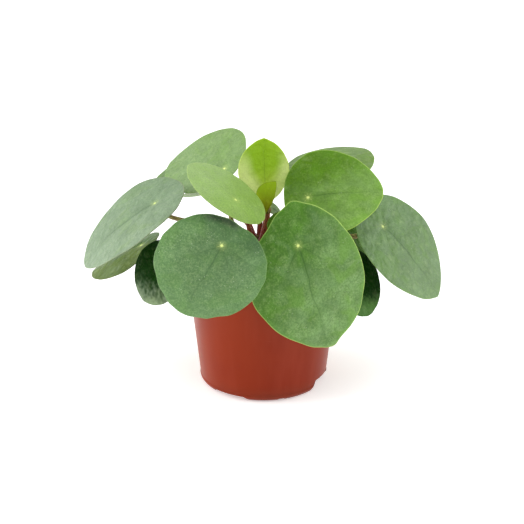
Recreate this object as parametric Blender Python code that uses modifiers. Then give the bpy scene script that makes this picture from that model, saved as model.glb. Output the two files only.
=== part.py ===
"""Chinese money plant (Pilea peperomioides) growing in a plastic nursery pot.

The origin is the middle of the ring that the pot stands on, and +Z is up. Lengths are in millimetres and
turn into metres where the meshes are made. Every leaf is a round blade on its own leaf stalk, and the
stalks stand round one short stem.
"""
import math

import bmesh
import bpy
from mathutils import Matrix, Vector
from mathutils.geometry import interpolate_bezier

MM = 0.001

# Pot
POT_HEIGHT = 79.0
FOOT_RADIUS = 36.4            # outer edge of the ring the pot stands on
CORNER_RADIUS = 4.0
WALL_RADIUS_AT_GROUND = 40.0  # where the straight wall would meet the ground
WALL_TAPER = 0.112            # growth of the wall's radius for each mm of height
WALL_THICKNESS = 1.2
RIM_RADIUS = 50.5
RIM_BAND_HEIGHT = 6.5
FLOOR_UNDERSIDE = 4.0
FLOOR_THICKNESS = 1.2
FOOT_RING_WIDTH = 2.6
POT_SEGMENTS = 72

# Notches in the foot ring: bearing of the middle from the front (-Y) towards +X, width in degrees, height
FOOT_NOTCHES = [
    (-33, 41, 3.0), (70, 44, 7.4), (173, 41, 3.0),
    (17, 7, 1.6), (120, 7, 1.6), (223, 7, 1.6), (275, 7, 1.6),
]
NOTCH_TOP_SHARE = 0.7         # width of a notch at its top beside its width at the ground
DRAIN_HOLE_RADIUS = 3.2
DRAIN_HOLES = [(0.0, 0.0)] + [(24.0, 60.0 * k + 20.0) for k in range(6)]   # distance from axis, bearing

# Soil and stem
SOIL_LEVEL = 69.0
SOIL_BUMP = 1.1
SOIL_SEGMENTS = 36
FIT_GAP = 0.3                 # clearance between neighbouring solids
STEM_HOLE_RADIUS = 5.2
STEM_HOLE_FLOOR = 61.0
# Stem stations: offset along X, height, radius
STEM_STATIONS = [
    (0.0, 61.3, 4.4), (0.0, 66.0, 4.6), (0.0, 70.5, 4.7), (-0.4, 72.0, 4.2), (-0.6, 74.5, 4.5),
    (-1.0, 76.5, 4.0), (-1.3, 79.0, 4.3), (-1.7, 81.0, 3.8), (-2.1, 83.5, 4.0), (-2.5, 86.0, 3.5),
    (-2.9, 88.5, 3.6), (-3.3, 91.0, 3.0), (-3.6, 93.5, 2.7), (-3.8, 95.5, 1.9), (-3.9, 97.0, 0.9),
]

# Leaves
BLADE_THICKNESS = 0.8
BLADE_SEGMENTS = 28
BLADE_RINGS = 3
STALK_STEPS = 10
STALK_END = 1.6               # straight piece that meets the blade square
STALK_RADIUS_AT_STEM = 1.35
STALK_RADIUS_AT_BLADE = 1.0

LEAF_DEFAULTS = dict(
    dome=0.13,      # drop of the margin below the middle, as a share of the length
    fold=0.0,       # slope of the two halves up from the midrib
    curl=0.05,      # extra droop of the tip, as a share of the length
    joint=0.28,     # where the stalk joins, as a share of the length from the base edge
    point=0.58,     # 0.5 is a round tip, more is a sharper one
    base=0.5,       # 0.5 is a round base, more is a narrower one
    skew=0.0,       # how much wider the left half is than the right one
    sway=0.0,       # how far both ends lean to the left
    out=0.35,       # how far the stalk first runs outwards, as a share of its span
    up=0.25,        # how far it first climbs
    reach=0.3,      # how far it runs straight before it meets the blade
    stout=1.0,      # thickness of the stalk beside the usual one
)

# at: where the stalk meets the blade. tip: where the blade's tip points. face: where its upper side looks.
# node: bearing from +X and height at which the stalk leaves the stem.
LEAVES = {
    "upper_left": dict(
        at=(-25, 15, 136.5), tip=(-0.70, 0.70, -0.14), face=(-0.45, -0.29, 0.84), length=63, width=57.5,
        dome=0.02, fold=0.08, curl=0.03, joint=0.18, point=0.65, base=0.52, skew=-0.12, node=(140, 90),
        out=0.1, up=0.45, reach=0.2, color=(0.27, 0.42, 0.18)),
    "far_left": dict(
        at=(-67.5, -10, 122.5), tip=(-0.86, -0.11, -0.50), face=(-0.47, -0.18, 0.86), length=79, width=69,
        dome=0.15, fold=0.07, curl=0.13, joint=0.26, point=0.59, skew=-0.03, node=(188, 85), up=0.45,
        color=(0.30, 0.43, 0.27)),
    "lower_left": dict(
        at=(-79.5, 30, 79), tip=(-0.86, 0.21, -0.47), face=(-0.48, 0.0, 0.88), length=53, width=50,
        dome=0.12, fold=-0.10, curl=0.0, joint=0.24, node=(160, 79), up=0.4, reach=0.15,
        color=(0.20, 0.30, 0.10)),
    "low_left": dict(
        at=(-63, -16, 84.5), tip=(-0.48, -0.16, -0.86), face=(-0.53, -0.73, 0.43), length=41.5, width=39.5,
        dome=0.15, curl=0.07, joint=0.33, node=(195, 77), up=0.55, reach=0.12,
        color=(0.05, 0.14, 0.03)),
    "front_left": dict(
        at=(-24.5, -73, 118.5), tip=(-0.46, 0.0, -0.89), face=(-0.06, -1.0, 0.02), length=70, width=66.5,
        dome=0.14, curl=0.08, joint=0.24, point=0.58, base=0.48, node=(250, 82),
        color=(0.16, 0.28, 0.12)),
    "pale_young": dict(
        at=(-16.5, -30, 132), tip=(-0.74, 0.40, 0.54), face=(0.52, -0.15, 0.84), length=56.5, width=49.5,
        dome=0.08, curl=0.0, joint=0.37, point=0.53, node=(236, 90), reach=0.25,
        color=(0.31, 0.50, 0.15)),
    "top_young": dict(
        at=(1.3, 4, 125.5), tip=(-0.05, 0.25, 0.97), face=(0.06, -0.97, 0.25), length=41, width=29,
        dome=-0.17, curl=-0.04, joint=0.20, point=0.70, base=0.74, skew=0.04, node=(80, 93),
        out=0.12, up=0.5, color=(0.27, 0.42, 0.04)),
    "folded_young": dict(
        at=(2, -11, 118), tip=(0.26, -0.02, 0.96), face=(-0.08, -1.0, 0.05), length=21, width=14.5,
        dome=0.25, curl=0.08, joint=0.14, point=0.5, base=0.9, skew=0.7, node=(325, 94),
        out=0.12, up=0.4, stout=0.8, color=(0.20, 0.27, 0.01)),
    "upper_right": dict(
        at=(27.5, -8, 125.5), tip=(0.99, -0.01, 0.16), face=(-0.12, -0.70, 0.70), length=61.5, width=58,
        dome=0.11, fold=0.05, curl=0.07, joint=0.24, point=0.64, base=0.47, skew=0.07, node=(350, 90),
        color=(0.14, 0.30, 0.03)),
    "behind_right": dict(
        at=(34.5, 40, 129), tip=(0.85, 0.49, 0.20), face=(-0.14, -0.15, 0.98), length=60, width=55,
        dome=0.13, fold=-0.08, curl=0.01, joint=0.33, point=0.59, node=(50, 88), out=0.4, up=0.2,
        color=(0.22, 0.36, 0.14)),
    "front_right": dict(
        at=(21, -50, 109.5), tip=(0.17, -0.08, -0.98), face=(0.31, -0.93, 0.17), length=96.5, width=73,
        dome=0.05, curl=0.12, joint=0.285, point=0.66, base=0.68, skew=0.03, sway=0.18, node=(290, 84),
        color=(0.13, 0.27, 0.06)),
    "far_right": dict(
        at=(75.5, 2, 102.5), tip=(0.72, -0.17, -0.67), face=(0.54, -0.47, 0.70), length=76, width=66.5,
        dome=0.13, fold=0.05, curl=0.11, joint=0.25, point=0.66, skew=0.03, node=(5, 83),
        color=(0.21, 0.34, 0.16)),
    "low_right": dict(
        at=(55.5, -20, 81), tip=(0.45, -0.33, -0.83), face=(0.59, -0.59, 0.55), length=44, width=41,
        dome=0.15, curl=0.06, joint=0.33, node=(340, 77), up=0.55, reach=0.12,
        color=(0.05, 0.14, 0.03)),
    "behind_left": dict(
        at=(-38, 38, 128), tip=(-0.95, 0.25, -0.25), face=(-0.28, -0.14, 0.95), length=50, width=46,
        dome=0.09, curl=0.0, joint=0.30, node=(112, 86), out=0.1, up=0.45, reach=0.12,
        color=(0.22, 0.36, 0.16)),
    "mid_right": dict(
        at=(54, 33, 90), tip=(0.66, 0.1, -0.74), face=(0.62, -0.10, 0.78), length=54, width=50,
        joint=0.30, node=(28, 80), color=(0.13, 0.25, 0.06)),
    "back_right_upper": dict(
        at=(43, 48, 104), tip=(0.35, 0.80, -0.48), face=(0.25, 0.45, 0.86), length=49, width=45,
        joint=0.30, node=(60, 83), color=(0.17, 0.31, 0.09)),
    "back_right_lower": dict(
        at=(33, 62, 66), tip=(0.20, 0.10, -0.97), face=(0.35, 0.93, 0.12), length=60, width=56,
        joint=0.30, node=(73, 76.5), out=0.6, up=0.6, reach=0.12, color=(0.14, 0.27, 0.07)),
    "back_left_upper": dict(
        at=(-36, 50, 111), tip=(-0.35, 0.85, -0.35), face=(-0.20, 0.35, 0.92), length=36, width=33,
        joint=0.30, node=(97, 82.5), out=0.25, up=0.35, reach=0.1, color=(0.19, 0.33, 0.11)),
    "back_left_lower": dict(
        at=(-38, 58, 63), tip=(-0.20, 0.10, -0.97), face=(-0.45, 0.88, 0.12), length=58, width=54,
        joint=0.30, node=(122, 78.5), out=0.6, up=0.58, reach=0.12, color=(0.14, 0.27, 0.07)),
    "small_back": dict(
        at=(4, 5, 115), tip=(0.75, -0.10, -0.60), face=(0.40, -0.60, 0.70), length=13, width=10,
        joint=0.30, node=(35, 92), out=0.15, up=0.4, stout=0.7, color=(0.20, 0.32, 0.14)),
    "small_front": dict(
        at=(7, -14, 110), tip=(0.60, 0.10, 0.70), face=(-0.35, -0.60, 0.72), length=17, width=13,
        joint=0.30, node=(300, 91), out=0.25, up=0.35, stout=0.7, color=(0.12, 0.20, 0.04)),
}

POT_COLOR = (0.26, 0.035, 0.02)
SOIL_COLOR = (0.035, 0.022, 0.014)
STEM_COLOR = (0.12, 0.06, 0.03)
STALK_COLOR = (0.20, 0.09, 0.035)


def clear_scene():
    for obj in list(bpy.data.objects):
        bpy.data.objects.remove(obj)


def new_collection(name):
    collection = bpy.data.collections.new(name)
    bpy.context.scene.collection.children.link(collection)
    return collection


def add_object(name, data, collection, parent=None):
    obj = bpy.data.objects.new(name, data)
    collection.objects.link(obj)
    obj.parent = parent
    return obj


def paint(obj, color, roughness):
    """Give an object its own material."""
    material = bpy.data.materials.new(obj.name)
    material.use_nodes = True
    shader = material.node_tree.nodes["Principled BSDF"]
    shader.inputs["Base Color"].default_value = (*color, 1.0)
    shader.inputs["Roughness"].default_value = roughness
    obj.data.materials.append(material)


def move_to(obj, collection):
    for old in list(obj.users_collection):
        old.objects.unlink(obj)
    collection.objects.link(obj)


def as_cutter(obj, collection):
    obj.hide_render = True
    obj.display_type = "WIRE"
    move_to(obj, collection)


def turn_profile(name, profile, segments, collection, parent=None):
    """Turn a profile of (radius, height) about Z. It starts on the axis and goes down the outside."""
    mesh = bpy.data.meshes.new(name)
    points = [(radius * MM, 0.0, height * MM) for radius, height in profile]
    mesh.from_pydata(points, [(k, k + 1) for k in range(len(points) - 1)], [])
    obj = add_object(name, mesh, collection, parent)
    screw = obj.modifiers.new("turn", "SCREW")
    screw.steps = screw.render_steps = segments
    screw.use_merge_vertices = True
    screw.merge_threshold = 0.00001
    return obj


def wall_radius(height):
    return WALL_RADIUS_AT_GROUND + WALL_TAPER * height


def pot_profile():
    ring_inside = FOOT_RADIUS - FOOT_RING_WIDTH
    floor_top = FLOOR_UNDERSIDE + FLOOR_THICKNESS
    band_bottom = POT_HEIGHT - RIM_BAND_HEIGHT
    inside = [
        (0.0, floor_top),
        (wall_radius(floor_top) - WALL_THICKNESS - 1.4, floor_top),
        (wall_radius(floor_top + 3) - WALL_THICKNESS, floor_top + 3),
        (wall_radius(POT_HEIGHT) - WALL_THICKNESS, POT_HEIGHT - 0.6),
        (wall_radius(POT_HEIGHT) - WALL_THICKNESS + 0.5, POT_HEIGHT),
    ]
    rim_and_wall = [
        (RIM_RADIUS - 0.5, POT_HEIGHT), (RIM_RADIUS, POT_HEIGHT - 0.9),
        (RIM_RADIUS - 0.5, band_bottom + 0.8), (RIM_RADIUS - 0.9, band_bottom + 0.3),
        (wall_radius(band_bottom), band_bottom),
        (wall_radius(40), 40.0),
    ]
    corner = []
    for k in range(5):
        angle = math.radians(18.0 * k)
        corner.append((FOOT_RADIUS + CORNER_RADIUS * math.cos(angle), CORNER_RADIUS * (1 - math.sin(angle))))
    foot = [
        (FOOT_RADIUS, 0.0), (ring_inside + 0.2, 0.0), (ring_inside - 0.2, 0.4),
        (ring_inside - 0.6, FLOOR_UNDERSIDE), (0.0, FLOOR_UNDERSIDE),
    ]
    return inside + rim_and_wall + corner + foot


def add_notch_cutter(bearing, width, height, collection):
    """A block across the foot ring, narrower at its top, that faces outwards at a bearing."""
    inner, outer = FOOT_RADIUS - FOOT_RING_WIDTH - 2.5, 46.0
    below = 2.0
    chord = 2 * FOOT_RADIUS * math.sin(math.radians(width) / 2)
    bpy.ops.mesh.primitive_cube_add(size=1.0)
    cutter = bpy.context.active_object
    cutter.name = f"notch_cutter_{bearing}"
    for vertex in cutter.data.vertices:
        across = chord * (NOTCH_TOP_SHARE if vertex.co.z > 0 else 1.0)
        vertex.co = Vector((vertex.co.x * across, vertex.co.y * (outer - inner),
                            vertex.co.z * (height + below))) * MM
    angle = math.radians(bearing)
    middle = (inner + outer) / 2
    cutter.location = Vector((middle * math.sin(angle), -middle * math.cos(angle), (height - below) / 2)) * MM
    cutter.rotation_euler = (0.0, 0.0, angle)
    as_cutter(cutter, collection)


def add_drain_cutter(number, distance, bearing, collection):
    angle = math.radians(bearing)
    middle = Vector((distance * math.cos(angle), distance * math.sin(angle), FLOOR_UNDERSIDE + 1.0))
    # The small turn keeps the hole's corners off the lines that meet at the middle of the floor.
    bpy.ops.mesh.primitive_cylinder_add(vertices=16, radius=DRAIN_HOLE_RADIUS * MM, depth=4.0 * MM,
                                        location=middle * MM, rotation=(0.0, 0.0, 0.03))
    cutter = bpy.context.active_object
    cutter.name = f"drain_cutter_{number}"
    as_cutter(cutter, collection)


def build_pot(collection, cutters, parent):
    pot = turn_profile("pot", pot_profile(), POT_SEGMENTS, collection, parent)
    for bearing, width, height in FOOT_NOTCHES:
        add_notch_cutter(bearing, width, height, cutters)
    for number, (distance, bearing) in enumerate(DRAIN_HOLES):
        add_drain_cutter(number, distance, bearing, cutters)
    for cutter in cutters.objects:
        cut = pot.modifiers.new(cutter.name, "BOOLEAN")
        cut.operation = "DIFFERENCE"
        cut.solver = "EXACT"
        cut.object = cutter
    paint(pot, POT_COLOR, 0.45)


def soil_bump(x, y, height):
    """Lumpy soil surface: level at the pot wall and at the stem hole, uneven between."""
    radius = math.hypot(x, y)
    if height < SOIL_LEVEL - 0.1 or radius < STEM_HOLE_RADIUS + 1 or radius > wall_radius(height) - 4:
        return 0.0
    return SOIL_BUMP * (math.sin(0.31 * x + 1.3) * math.cos(0.27 * y - 0.4)
                        + 0.6 * math.sin(0.55 * x - 0.47 * y) - 0.4)


def build_soil(collection, parent):
    bottom = FLOOR_UNDERSIDE + FLOOR_THICKNESS + FIT_GAP
    side = WALL_THICKNESS + FIT_GAP + 0.1
    profile = [(0.0, STEM_HOLE_FLOOR), (STEM_HOLE_RADIUS, STEM_HOLE_FLOOR), (STEM_HOLE_RADIUS, SOIL_LEVEL)]
    profile += [(radius, SOIL_LEVEL) for radius in (11.0, 18.0, 25.0, 32.0, 39.0)]
    profile += [(wall_radius(SOIL_LEVEL) - side - 1.2, SOIL_LEVEL),
                (wall_radius(SOIL_LEVEL - 1) - side, SOIL_LEVEL - 1),
                (wall_radius(bottom + 3.4) - side, bottom + 3.4),
                (wall_radius(bottom) - side - 1.8, bottom), (0.0, bottom)]
    soil = turn_profile("soil", profile, SOIL_SEGMENTS, collection, parent)
    turned = soil.evaluated_get(bpy.context.evaluated_depsgraph_get())
    soil.data = bpy.data.meshes.new_from_object(turned)
    soil.modifiers.clear()
    for vertex in soil.data.vertices:
        x, y, height = vertex.co / MM
        vertex.co.z += soil_bump(x, y, height) * MM
    paint(soil, SOIL_COLOR, 0.95)


def build_tube(name, path, radii, roundness, collection, parent, color, roughness):
    """A round solid along a line of points, as thick at each point as its radius says."""
    curve = bpy.data.curves.new(name, "CURVE")
    curve.dimensions = "3D"
    curve.bevel_depth = MM
    curve.bevel_resolution = roundness
    curve.use_fill_caps = True
    spline = curve.splines.new("POLY")
    spline.points.add(len(path) - 1)
    for spot, place, radius in zip(spline.points, path, radii):
        spot.co = (*(Vector(place) * MM), 1.0)
        spot.radius = radius
    paint(add_object(name, curve, collection, parent), color, roughness)


def build_stem(collection, parent):
    path = [(x, 0.0, z) for x, z, _ in STEM_STATIONS]
    radii = [radius for _, _, radius in STEM_STATIONS]
    build_tube("stem", path, radii, 5, collection, parent, STEM_COLOR, 0.8)


def stem_at(height):
    """Middle and radius of the stem at a height."""
    for (x0, z0, r0), (x1, z1, r1) in zip(STEM_STATIONS, STEM_STATIONS[1:]):
        if z0 <= height <= z1:
            share = (height - z0) / (z1 - z0)
            return Vector((x0 + (x1 - x0) * share, 0.0, height)), r0 + (r1 - r0) * share
    raise ValueError("height is off the stem")


def blade_axes(leaf):
    """Towards the tip, to the left and up from the upper side."""
    normal = Vector(leaf["face"]).normalized()
    forward = Vector(leaf["tip"])
    forward = (forward - normal * forward.dot(normal)).normalized()
    return forward, normal.cross(forward), normal


def blade_edge(leaf, angle):
    """Margin of the flat blade: distance towards the tip and to the left of the joint."""
    share = (1 + math.cos(angle)) / 2
    widest = leaf["base"] / (leaf["base"] + leaf["point"])
    scale = widest ** leaf["base"] * (1 - widest) ** leaf["point"]
    half = leaf["width"] / 2 * share ** leaf["base"] * (1 - share) ** leaf["point"] / scale
    side = 1.0 if math.sin(angle) >= 0 else -1.0
    ahead = (share - leaf["joint"]) * leaf["length"]
    return ahead, side * half * (1 + leaf["skew"] * side) + leaf["sway"] * ahead ** 2 / leaf["length"]


def blade_lift(leaf, ahead, left):
    """Height of the blade over its middle plane."""
    length, crease = leaf["length"], 0.08 * leaf["width"]
    bowl = -leaf["dome"] * (ahead ** 2 + left ** 2) / length
    fold = leaf["fold"] * (math.sqrt(left ** 2 + crease ** 2) - crease)
    droop = -leaf["curl"] * max(ahead, 0.0) ** 2 / length
    return bowl + fold + droop


def unit_disc(rings, segments):
    """Flat disc of radius 1 in rings about its middle, facing up."""
    disc = bmesh.new()
    row = [disc.verts.new((ring / rings, 0.0, 0.0)) for ring in range(rings + 1)]
    edges = [disc.edges.new(pair) for pair in zip(row, row[1:])]
    bmesh.ops.spin(disc, geom=row + edges, cent=(0, 0, 0), axis=(0, 0, 1), angle=2 * math.pi,
                   steps=segments, use_merge=True)
    bmesh.ops.remove_doubles(disc, verts=disc.verts, dist=0.001)
    for face in disc.faces:
        face.normal_update()
    bmesh.ops.reverse_faces(disc, faces=[face for face in disc.faces if face.normal.z < 0])
    return disc


def build_blade(name, leaf, collection, parent):
    """A blade: a disc drawn out to the margin and bent, with its thickness below the upper side."""
    disc = unit_disc(BLADE_RINGS, BLADE_SEGMENTS)
    for vertex in disc.verts:
        x, y, _ = vertex.co
        ahead, left = (share * math.hypot(x, y) for share in blade_edge(leaf, math.atan2(y, x)))
        vertex.co = Vector((ahead, left, blade_lift(leaf, ahead, left))) * MM
    mesh = bpy.data.meshes.new(name)
    disc.to_mesh(mesh)
    disc.free()
    mesh.shade_smooth()
    blade = add_object(name, mesh, collection, parent)
    blade.location = Vector(leaf["at"]) * MM
    blade.rotation_euler = Matrix(blade_axes(leaf)).transposed().to_euler()
    solid = blade.modifiers.new("thickness", "SOLIDIFY")
    solid.thickness = BLADE_THICKNESS * MM
    solid.offset = -1.0
    paint(blade, leaf["color"], 0.35)


def build_stalk(name, leaf, collection, parent):
    """The leaf stalk: leaves the stem, climbs outwards and meets the blade square from below."""
    bearing, height = leaf["node"]
    outwards = Vector((math.cos(math.radians(bearing)), math.sin(math.radians(bearing)), 0.0))
    climb = math.atan2(leaf["up"], leaf["out"])
    stout_radius = STALK_RADIUS_AT_STEM * leaf["stout"]
    middle, stem_radius = stem_at(height)
    start = middle + outwards * (stem_radius + FIT_GAP + 0.1 + stout_radius * math.sin(climb))
    normal = blade_axes(leaf)[2]
    tip = Vector(leaf["at"]) - normal * (BLADE_THICKNESS + FIT_GAP)
    end = tip - normal * STALK_END
    span = (end - start).length
    first = start + (outwards * leaf["out"] + Vector((0, 0, leaf["up"]))) * span
    second = end - normal * leaf["reach"] * span
    path = interpolate_bezier(start, first, second, end, STALK_STEPS) + [tip]
    radii = []
    for k in range(len(path)):
        share = min(1.0, k / (STALK_STEPS - 1))
        radius = STALK_RADIUS_AT_STEM + (STALK_RADIUS_AT_BLADE - STALK_RADIUS_AT_STEM) * share
        radii.append(radius * leaf["stout"])
    build_tube(name, path, radii, 2, collection, parent, STALK_COLOR, 0.5)


clear_scene()
potted_plant = new_collection("potted_chinese_money_plant")
pot_cutters = new_collection("cutters")
plant = add_object("plant", None, potted_plant)
build_pot(potted_plant, pot_cutters, plant)
build_soil(potted_plant, plant)
build_stem(potted_plant, plant)
for leaf_name, row in LEAVES.items():
    leaf_row = {**LEAF_DEFAULTS, **row}
    build_blade(leaf_name + "_blade", leaf_row, potted_plant, plant)
    build_stalk(leaf_name + "_stalk", leaf_row, potted_plant, plant)
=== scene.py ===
"""Looks of a potted Chinese money plant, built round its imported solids.

Every leaf blade, leaf stalk, the stem, the soil and the pot are read from the frame and remade finely in
the same place. Lengths are in millimetres until a mesh is made, and +Z is up.
"""
import random
from math import cos, exp, hypot, pi, radians, sin, sqrt
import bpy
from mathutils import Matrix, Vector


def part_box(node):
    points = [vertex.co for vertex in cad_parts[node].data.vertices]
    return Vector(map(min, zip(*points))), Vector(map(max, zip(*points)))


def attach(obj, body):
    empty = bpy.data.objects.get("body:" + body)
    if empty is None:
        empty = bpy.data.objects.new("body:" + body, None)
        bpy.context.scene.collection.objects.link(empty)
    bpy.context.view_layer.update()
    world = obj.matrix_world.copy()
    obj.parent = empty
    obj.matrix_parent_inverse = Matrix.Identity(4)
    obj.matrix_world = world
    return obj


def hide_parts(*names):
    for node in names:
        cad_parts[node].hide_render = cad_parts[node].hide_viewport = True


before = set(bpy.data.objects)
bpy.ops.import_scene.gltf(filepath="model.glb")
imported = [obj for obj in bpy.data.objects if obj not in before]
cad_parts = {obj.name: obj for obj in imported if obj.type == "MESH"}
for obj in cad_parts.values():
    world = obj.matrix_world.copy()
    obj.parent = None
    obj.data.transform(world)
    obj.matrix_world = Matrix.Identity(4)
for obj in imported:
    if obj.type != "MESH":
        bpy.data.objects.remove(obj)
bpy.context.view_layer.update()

from types import SimpleNamespace

import bmesh
import bpy
import numpy as np
from mathutils import Color, Matrix, Vector, noise
from numpy.linalg import norm

MM = 0.001
FULL_TURN = 2 * pi

# Camera: level bearing along +Y, looking down
CAMERA_ELEVATION = 22.0   # degrees
CAMERA_DISTANCE = 1.1     # metres
CAMERA_TARGET = Vector((-0.00087, 0.0, 0.0789))
PIXELS_PER_MM = 1.5813    # at the target
PICTURE_SIDE = 524
SENSOR_WIDTH = 36.0

# Soft lights aimed at the middle of the plant: diameter, power and place, in metres and watts
LIGHTS = {"top_softbox": (1.8, 6.5, (-0.3, -0.1, 1.6)),
          "left_softbox": (1.4, 19.5, (-1.7, 0.1, 0.6)),
          "right_softbox": (1.4, 11.0, (1.7, 0.3, 0.6))}
LIGHT_TARGET = Vector((0.0, 0.0, 0.08))
FLOOR_HALF_SIDE = 6000.0
FLOOR_DROP = 0.05         # the floor lies just under the pot's foot
FLOOR_GLOW = 0.42

# Leaf blades
SOLID_SEGMENTS = 28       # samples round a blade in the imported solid
SOLID_RINGS = 3
WELD_DISTANCE = 0.001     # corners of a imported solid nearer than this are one
LEVEL_TOLERANCE = 0.01    # vertices this much above the lowest are level with it
FINE_GRID = (36, 168)     # rings and segments of a blade
SMALL_GRID = (20, 96)
SMALL_HALF_SIZE = 18      # a blade that reaches less than this gets the small grid
USUAL_REACH = 45          # from the joint to the tip of a full-grown blade
MAIN_VEINS = 8
VEIN_SWEEP = 0.22         # how far the side veins bend towards the tip by the margin
BLADE_THICKNESS = 0.8
EDGE_THICKNESS = 0.45
DIMPLE_DEPTH = 0.7
DIMPLE_RADIUS = 3.4
RIPPLE_COUNTS = (5, 8, 11, 14, 19)
# Added to a leaf's number, so that each of its patterns has its own noise or draws
WAVE_SEED, LIGHT_SEED, RAGGED_SEED, STALK_SEED = 3, 40, 80, 900

# Leaf stalks and stem
STALK_STATIONS, STALK_SIDES = 44, 14
SOLID_STALK_SIDES = 8
STALK_ROOT = 1.3          # how far a stalk runs on into the stem
RIPE_STALK = 45           # a stalk shorter than this stays red all the way up
STEM_STATIONS, STEM_SIDES = 90, 36

# Soil
SOIL_LEVEL = 69.0
SOIL_RINGS, SOIL_SEGMENTS = 46, 150
SOIL_FOOT_RADIUS = 38.4
SOIL_STEP = 4.5           # height of the narrow foot that stands on the pot's floor
# Loose grains: count, seed, smallest and largest radius
CRUMBS = (620, 11, (0.5, 1.7))
PERLITE = (46, 12, (0.5, 1.1))

# Pot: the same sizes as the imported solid
POT_SEGMENTS = 360
WALL_RADIUS_AT_GROUND = 40.0
WALL_TAPER = 0.112        # growth of the wall's radius for each mm of height
POT_WALL = 1.2
RIM_RADIUS = 50.5
RIM_BAND_HEIGHT = 6.5
FOOT_RADIUS = 36.4
FOOT_RING_WIDTH = 2.6
CORNER_RADIUS = 4.0
FLOOR_UNDERSIDE = 4.0
FLOOR_TOP = 5.2
FLAT_FLOOR_RADIUS = 29.0
# Bearing of the middle from the front (-Y) towards +X, width in degrees, height
FOOT_NOTCHES = [(-33, 41, 3.0), (70, 44, 7.4), (173, 41, 3.0)]
FOOT_NOTCHES += [(bearing, 7, 1.6) for bearing in (17, 120, 223, 275)]
NOTCH_TOP_SHARE = 0.7
DRAIN_HOLE_RADIUS = 3.2
DRAIN_HOLES = [(0.0, 0.0)] + [(24.0, 60.0 * k + 20.0) for k in range(6)]  # distance from axis, bearing
JOIN_DISTANCE = 0.005     # corners nearer than this are one
SHARP_EDGE = 40           # degrees


def rgb(red, green, blue):
    """Linear colour from the usual 0 to 255 values."""
    return tuple(Color((red / 255, green / 255, blue / 255)).from_srgb_to_scene_linear())


LOOK_DEFAULTS = dict(
    near=rgb(96, 140, 66),    # colour on the side that the gradient starts from
    far=rgb(120, 162, 90),    # colour on the side it runs to
    turn=0.0,                 # direction of the gradient from the tip towards the left, in degrees
    start=-0.55, end=0.9,     # where it starts and ends, as shares of the blade's reach from the joint
    margin=0.0,               # how much lighter the margin is than the middle, as painted sheen
    curl=0.0,                 # painted shade: how much darker the turned-down edge at the top is
    patchy=1.0, gritty=1.0,   # strength of the soft patches and of the fine grain
    # Painted highlight along the edge: colour of the band and fine pale line inside the margin, and how
    # strongly they show
    rim=rgb(150, 185, 95), edge_highlight_strength=0.5,
    sides=rgb(120, 162, 90), flank_sheen_strength=0.0,  # colour of the painted sheen on the two flanks, and its strength
    ragged=0.0,               # how ragged the gradient's boundary is
    veins=1.0, fan=1.0,       # how clearly the midrib and the other main veins show
    eye=1.0,                  # strength of the pale eye over the stalk
    widen=1.0,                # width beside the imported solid
    swells=(),                # places where the outline lies further out: bearing from tip, spread, mm
    folded=False,             # half open, with its left half folded over
    wavy=1.0,                 # size of the ripples in the margin
    stout=1.0,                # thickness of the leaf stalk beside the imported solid
    kind="mature",
)

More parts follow.
